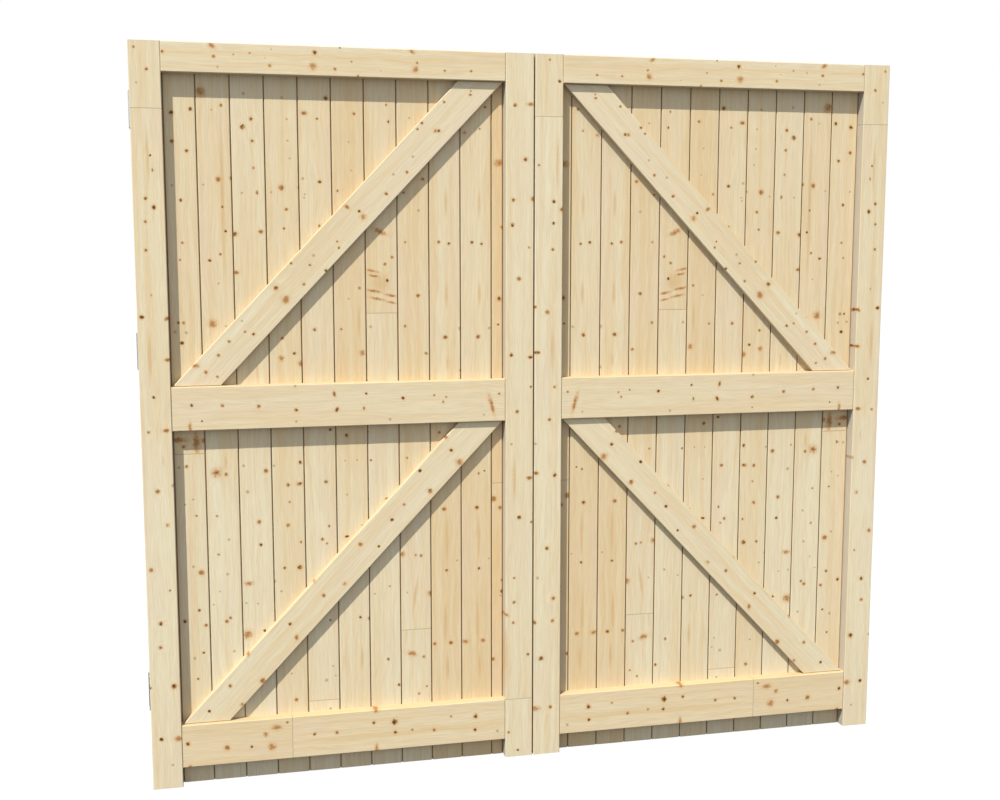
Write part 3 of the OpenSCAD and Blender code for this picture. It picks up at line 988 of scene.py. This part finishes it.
FRAMING = (
    Timber("hanging_stile", Run.UPRIGHT, (0.06, 0.32), (1952,), (
        Mark(1127, 2115, 4), Mark(1095, 2057, 5), Mark(1093, 1825, 3, 5), Mark(1088, 1785, 3, 5),
        Mark(1109, 1708, 6), Mark(1087, 1684, 7), Mark(1111, 1644, 5), Mark(1113, 1566, 5),
        Mark(1130, 1380, 7), Mark(1062, 1375, 7), Mark(1063, 1259, 10, 6), Mark(1105, 1154, 5),
        Mark(1074, 1058, 10, 6), Mark(1122, 1055, 5), Mark(1103, 884, 7), Mark(1128, 657, 7),
        Mark(1078, 594, 4), Mark(1106, 498, 7), Mark(1110, 427, 6), Mark(1075, 308, 9),
        Mark(1143, 308, 5), Mark(1115, 151, 6), pin(1123, 2020), pin(1102, 1441), pin(1060, 900, 5),
        pin(1086, 71, 4), soft(1078, 786, 6), soft(1067, 149, 13, 8), streak(1112, 1265, 9, 95),
        streak(1100, 1820, 6, 120), streak(1085, 973, 3, 22),
    )),
    Timber("left_meeting_stile", Run.UPRIGHT, (0.15, 0.15), (185,), (
        Mark(59, 1985, 6), Mark(28, 1829, 7), Mark(64, 1711, 6), Mark(4, 1715, 8), Mark(67, 1639, 7),
        Mark(16, 1572, 4), Mark(47, 1480, 7), Mark(70, 1253, 6), Mark(11, 1246, 9, 5), Mark(9, 1156, 4),
        Mark(52, 1082, 6), Mark(13, 878, 10, 6), Mark(44, 757, 7), Mark(7, 742, 4), Mark(60, 570, 4),
        Mark(61, 493, 5), Mark(63, 429, 5), Mark(16, 325, 5), Mark(77, 80, 5), Mark(47, 20, 4),
        pin(69, 984, 4), soft(12, 1988, 11, 6), soft(85, 455, 10, 5, 30), streak(60, 875, 8, 95),
        streak(85, 320, 6, 130),
    )),
    Timber("right_meeting_stile", Run.UPRIGHT, (0.15, 0.2), (1954,), (
        Mark(45, 2117, 4), Mark(75, 2057, 5), Mark(13, 1813, 4), Mark(60, 1708, 6), Mark(85, 1684, 7),
        Mark(59, 1644, 5), Mark(57, 1566, 5), Mark(3, 1396, 5), Mark(41, 1380, 7),
        Mark(10, 1259, 10, 6), Mark(65, 1154, 5), Mark(49, 1055, 6), Mark(8, 892, 9, 6),
        Mark(67, 884, 7), Mark(43, 657, 7), Mark(64, 498, 7), Mark(62, 427, 6), Mark(4, 425, 7),
        Mark(26, 309, 8), Mark(56, 151, 6), pin(6, 982, 4), pin(14, 565, 4), soft(10, 149, 13, 8),
        streak(58, 1265, 9, 95), streak(70, 1820, 6, 120),
    )),
    Timber("top_rail", Run.LEVEL, (0.38, 0.38), (), (
        Mark(1052, 2105, 5), Mark(915, 2096, 5), Mark(862, 2103, 3), Mark(817, 2108, 3),
        Mark(763, 2076, 5), Mark(638, 2116, 7), Mark(582, 2072, 5), Mark(567, 2131, 3),
        Mark(535, 2094, 3), Mark(517, 2055, 4), Mark(348, 2096, 4), Mark(267, 2077, 4),
        Mark(190, 2078, 4), pin(905, 2068), pin(775, 2096, 2), pin(758, 2120, 2), pin(452, 2070, 2),
        soft(920, 2125, 10, 6, 30), soft(643, 2078, 10), soft(362, 2127, 9, 5, 30), soft(353, 2078, 9),
    )),
    Timber("middle_rail", Run.LEVEL, (0.52, 0.52), (), (
        Mark(1002, 1128, 5), Mark(975, 1082, 3), Mark(917, 1125, 5), Mark(815, 1120, 6),
        Mark(709, 1106, 6), Mark(709, 1072, 3), Mark(598, 1149, 5, 9, -20), Mark(591, 1104, 6, 9, 25),
        Mark(512, 1106, 4, 7), Mark(505, 1149, 4), Mark(397, 1132, 6), Mark(304, 1138, 3),
        Mark(268, 1132, 3), Mark(277, 1118, 4), Mark(107, 1138, 4), pin(711, 1176, 4),
        pin(436, 1071, 4), pin(153, 1076), soft(1008, 1065, 5, 14), soft(130, 1105, 6, 30, -15),
    )),
    Timber("bottom_rail", Run.LEVEL, (0.58, 0.58), (738,), (
        Mark(1041, 130, 7), Mark(1037, 60, 6), Mark(930, 108, 9), Mark(858, 105, 5), Mark(753, 170, 4),
        Mark(673, 127, 5), Mark(607, 126, 6), Mark(495, 147, 6), Mark(432, 144, 10), Mark(430, 111, 6),
        Mark(378, 114, 4), Mark(311, 108, 6), Mark(258, 146, 4), Mark(181, 140, 8), Mark(183, 97, 6),
        pin(112, 87, 4), soft(817, 139, 7), soft(785, 157, 14, 8), soft(799, 99, 11),
        soft(487, 65, 6, 14), soft(488, 186, 9),
    )),
    Timber("upper_brace", Run.RISING, (0.28, 0.28), (), (
        Mark(960, 1220, 6), Mark(928, 1207, 4), Mark(924, 1268, 5), Mark(893, 1307, 5),
        Mark(848, 1334, 4), Mark(824, 1327, 5), Mark(759, 1458, 8), Mark(679, 1468, 5),
        Mark(714, 1528, 4), Mark(661, 1523, 4), Mark(577, 1572, 4), Mark(582, 1590, 3),
        Mark(615, 1507, 5), Mark(552, 1688, 9, 6, 30), Mark(517, 1676, 5), Mark(439, 1727, 5),
        Mark(378, 1789, 5), Mark(333, 1929, 5), Mark(346, 1912, 4), Mark(284, 1908, 6),
        Mark(267, 1990, 4), Mark(190, 2012, 4), Mark(189, 2023, 3), pin(856, 1366), pin(650, 1550, 4),
        pin(417, 1782, 4), pin(360, 1833, 4), soft(987, 1239, 10, 6), soft(732, 1425, 11),
        soft(506, 1660, 9), soft(293, 1908, 6),
    )),
    Timber("lower_brace", Run.RISING, (0.24, 0.24), (), (
        Mark(978, 220, 5), Mark(916, 292, 6), Mark(822, 300, 9), Mark(738, 468, 6),
        Mark(720, 425, 6, 10), Mark(638, 548, 6), Mark(527, 697, 7), Mark(472, 688, 4),
        Mark(432, 767, 6), Mark(395, 811, 5), Mark(447, 833, 4), Mark(347, 911, 5), Mark(317, 848, 8),
        Mark(251, 970, 6), Mark(268, 1010, 6), soft(883, 233, 6), soft(863, 388, 6, 10),
        soft(666, 594, 6), soft(575, 580, 6), soft(227, 932, 11),
    )),
)

WEDGES = Timber("tenon_wedges", Run.LEVEL, (0.6, 0.6))


@dataclass(frozen=True)
class Plating:
    """Clouded plating with fine brush marks, which all steel pieces share.

    Attributes:
        cloud_detail: Detail of the clouds.
        brush_scale: Brush marks for each metre.
        brush_detail: Detail of the brush marks.
        brush_share: How far the brush marks show in the clouds.
        clouded: Noise at which the plating starts to be dull and is dull.
        cloud_height: Height of the clouds against that of the brush marks.
    """

    cloud_detail: float = 4.0
    brush_scale: Triple = (2600.0, 2600.0, 90.0)
    brush_detail: float = 1.0
    brush_share: float = 0.25
    clouded: Pair = (0.4, 0.85)
    cloud_height: float = 0.6

    def make(self) -> SharedGroup:
        """Makes the shared group.

        Returns:
            The group.
        """
        group = SharedGroup(
            "metal plating",
            Kind.VECTOR.named("Place") | Kind.COLOR.named("Bright", "Dull")
            | Kind.VALUE.named("Patch", "Smooth", "Rough"),
            Kind.COLOR.named("Color") | Kind.VALUE.named("Roughness", "Height"),
        )
        graph, given = group.graph, group.given
        cloud = graph.noise(given["Place"], given["Patch"], self.cloud_detail)["Fac"]
        brushed = graph.vector("MULTIPLY", given["Place"], self.brush_scale)
        hair = graph.noise(brushed, 1.0, self.brush_detail)["Fac"]
        share = graph.ramp(graph.total(cloud, graph.product(hair, self.brush_share)), *self.clouded)
        group.give(
            Color=graph.mix(share, given["Bright"], given["Dull"]),
            Roughness=graph.ramp(share, 0.0, 1.0, given["Smooth"], given["Rough"]),
            Height=graph.total(hair, graph.product(cloud, self.cloud_height)),
        )
        return group


@dataclass(frozen=True)
class Steel:
    """A plated steel finish.

    Attributes:
        name: The material's name.
        bright: Colour of the clean plating.
        dull: Colour of its clouded patches.
        smooth: Lowest roughness.
        rough: Highest roughness.
        patch: Patches for each metre.
    """

    name: str
    bright: Color
    dull: Color
    smooth: float
    rough: float
    patch: float

    def material(self, plating: SharedGroup) -> Material:
        """Makes the material.

        Args:
            plating: The shared group for plated metal.

        Returns:
            The material.
        """
        material, graph = start_material(self.name)
        coords = graph.add("ShaderNodeTexCoord").outputs
        feeds = {"Patch": self.patch, "Smooth": self.smooth, "Rough": self.rough}
        face = plating.place(graph, Place=coords["Object"], Bright=self.bright, Dull=self.dull, **feeds)
        shader = dress_shader(graph, face["Color"], face, PLATING_BUMP)
        shader.inputs["Metallic"].default_value = 1.0
        return material


ZINC = Steel(
    "zinc_plated_steel",
    bright=(0.84, 0.85, 0.85, 1.0),
    dull=(0.62, 0.63, 0.65, 1.0),
    smooth=0.26,
    rough=0.48,
    patch=160.0,
)
GALVANISED = Steel(
    "galvanised_nail_steel",
    bright=(0.52, 0.53, 0.54, 1.0),
    dull=(0.33, 0.34, 0.35, 1.0),
    smooth=0.42,
    rough=0.62,
    patch=420.0,
)


def dress(node: str, material: Material) -> None:
    """Gives a CAD node its material and logs it.

    Args:
        node: The CAD node's name.
        material: The material for its only slot.
    """
    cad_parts[node].material_slots[0].material = material
    LOG.info("%s is dressed in %s", node, material.name)


@dataclass
class Timbers:
    """All pine pieces of the pair. Mirror images share a material, as x counts from the meeting line.

    Attributes:
        effects: The shared groups of pine.
    """

    effects: PineEffects

    def dress(self) -> None:
        """Makes the material of each piece and gives it to its nodes."""
        for timber in (*FRAMING, *BOARDS, WEDGES):
            nodes = (timber.name, *(f"{side.value}_{timber.name}" for side in Side))
            present = [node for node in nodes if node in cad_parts]
            material = timber.material(self.effects, present[0])
            for node in present:
                dress(node, material)


@dataclass
class Ironwork:
    """Hinges, hinge screws and board nails of the pair.

    Attributes:
        plating: The shared group of plated metal.
    """

    plating: SharedGroup

    def dress(self) -> None:
        """Gives hinges and screws bright zinc, and nails dull galvanising."""
        zinc, galvanised = ZINC.material(self.plating), GALVANISED.material(self.plating)
        for node in sorted(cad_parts):
            if "hinge" in node:
                dress(node, zinc)
            elif "nails" in node:
                dress(node, galvanised)


def put(
    name: str, data: bpy.types.ID, place: Triple = (0.0, 0.0, 0.0), look: Vector | None = None,
) -> bpy.types.Object:
    """Puts a floor, light or camera in the scene.

    Args:
        name: The object's name.
        data: Its mesh, light or camera.
        place: Where it stands.
        look: Direction that a light or camera faces.

    Returns:
        The object.
    """
    item = bpy.data.objects.new(name, data)
    item.location = place
    if look is not None:
        item.rotation_euler = look.to_track_quat("-Z", "Y").to_euler()
    bpy.context.scene.collection.objects.link(item)
    return item


@dataclass(frozen=True)
class Studio:
    """Floor, daylight and camera, in metres.

    Attributes:
        camera_place: Where the camera stands.
        camera_look: Direction that it looks in.
        lens: Focal length in mm.
        sensor: Width of the sensor in mm.
        sun_travel: Direction that the sunlight travels in.
        sun_power: Strength of the sun.
        sun_width: Width of the sun in degrees.
        sun_color: Colour of the sun and the light behind.
        front_place: Where the front fill stands.
        front_power: Strength of the front fill in watts.
        back_place: Where the light behind stands.
        back_power: Strength of the light behind in watts.
        fill_size: Width of both.
        fill_color: Colour of the front fill and the sky.
        sky: Even light from all round.
        floor_half: Half of the floor's side.
        floor_color: Colour of the floor where it takes shadows and gives light back.
        floor_rough: Roughness of the floor.
        floor_white: Strength of the floor's own white.
        floor_glow: Share of that white in what the camera sees.
    """

    camera_place: Triple = (-0.9472, -3.6888, 1.5852)
    camera_look: Triple = (0.22244, 0.96715, -0.12308)
    lens: float = 45.54
    sensor: float = 36.0
    sun_travel: Triple = (0.380, 0.422, -0.823)
    sun_power: float = 4.1
    sun_width: float = 0.6
    sun_color: Triple = (1.0, 0.975, 0.895)
    front_place: Triple = (-1.6, -5.0, 2.2)
    front_power: float = 18.0
    back_place: Triple = (1.5, 4.6, 2.6)
    back_power: float = 175.0
    fill_size: float = 4.0
    fill_color: Triple = (0.86, 0.94, 1.0)
    sky: float = 0.6
    floor_half: float = 40.0
    floor_color: Color = (0.12, 0.12, 0.12, 1.0)
    floor_rough: float = 0.9
    floor_white: float = 1.13
    floor_glow: float = 0.9

    def build(self) -> None:
        """Makes the floor, the lights and the camera."""
        bpy.context.scene.view_settings.view_transform = "Standard"
        self.make_world()
        self.make_floor()
        self.make_sun()
        self.make_fill("front_fill", self.front_place, self.front_power, self.fill_color)
        self.make_fill("back_fill", self.back_place, self.back_power, self.sun_color)
        self.make_camera()
        LOG.info("studio is set")

    def make_world(self) -> None:
        """Makes a world that the camera sees as white and that gives a low even light."""
        world = bpy.data.worlds.new("studio_world")
        bpy.context.scene.world = world
        world.use_nodes = True
        graph = Graph(world.node_tree)
        output = next(node for node in world.node_tree.nodes if node.type == "OUTPUT_WORLD")
        sky = world.node_tree.nodes["Background"]
        sky.inputs["Color"].default_value = (*self.fill_color, 1.0)
        sky.inputs["Strength"].default_value = self.sky
        seen = graph.add("ShaderNodeBackground", {"Color": WHITE, "Strength": 1.0})
        ray = graph.add("ShaderNodeLightPath").outputs["Is Camera Ray"]
        mixed = graph.add("ShaderNodeMixShader", {0: ray, 1: sky.outputs[0], 2: seen.outputs[0]})
        graph.feed(output.inputs["Surface"], mixed.outputs[0])

    def make_floor(self) -> None:
        """Makes a pale floor that stays nearly white for the camera and takes a faint shadow."""
        half = self.floor_half
        mesh = bpy.data.meshes.new("studio_floor")
        corners = [(-half, -half, 0.0), (half, -half, 0.0), (half, half, 0.0), (-half, half, 0.0)]
        mesh.from_pydata(corners, [], [(0, 1, 2, 3)])
        material, graph = start_material("pale_floor")
        shader = graph.tree.nodes["Principled BSDF"]
        shader.inputs["Base Color"].default_value = self.floor_color
        shader.inputs["Roughness"].default_value = self.floor_rough
        shader.inputs["Specular IOR Level"].default_value = 0.0
        glow = graph.add("ShaderNodeEmission", {"Color": WHITE, "Strength": self.floor_white})
        ray = graph.add("ShaderNodeLightPath").outputs["Is Camera Ray"]
        share = graph.product(ray, self.floor_glow)
        mixed = graph.add("ShaderNodeMixShader", {0: share, 1: shader.outputs[0], 2: glow.outputs[0]})
        graph.feed(graph.tree.nodes["Material Output"].inputs["Surface"], mixed.outputs[0])
        mesh.materials.append(material)
        put("studio_floor", mesh)

    def make_sun(self) -> None:
        """Makes the sun, high on the left in front."""
        light = bpy.data.lights.new("sun", "SUN")
        light.energy = self.sun_power
        light.angle = math.radians(self.sun_width)
        light.color = self.sun_color
        put("sun", light, look=Vector(self.sun_travel))

    def make_fill(self, name: str, place: Triple, power: float, color: Triple) -> None:
        """Makes a large soft light that faces the middle of the pair.

        Args:
            name: The light's name.
            place: Where it stands.
            power: Its strength in watts.
            color: Its colour.
        """
        light = bpy.data.lights.new(name, "AREA")
        light.shape = "DISK"
        light.size = self.fill_size
        light.energy = power
        light.color = color
        middle = (CAD_BOX[0] + CAD_BOX[1]) / 2
        put(name, light, place, middle - Vector(place))

    def make_camera(self) -> None:
        """Makes the camera at the photograph's viewing angle."""
        data = bpy.data.cameras.new("camera")
        data.lens = self.lens
        data.sensor_width = self.sensor
        data.sensor_fit = "HORIZONTAL"
        bpy.context.scene.camera = put("camera", data, self.camera_place, Vector(self.camera_look))


def main() -> None:
    """Dresses the pair and sets the studio."""
    logging.basicConfig(level=logging.INFO, format="%(name)s: %(message)s")
    Timbers(PineEffects()).dress()
    Ironwork(Plating().make()).dress()
    Studio().build()


if __name__ == "__main__":
    main()
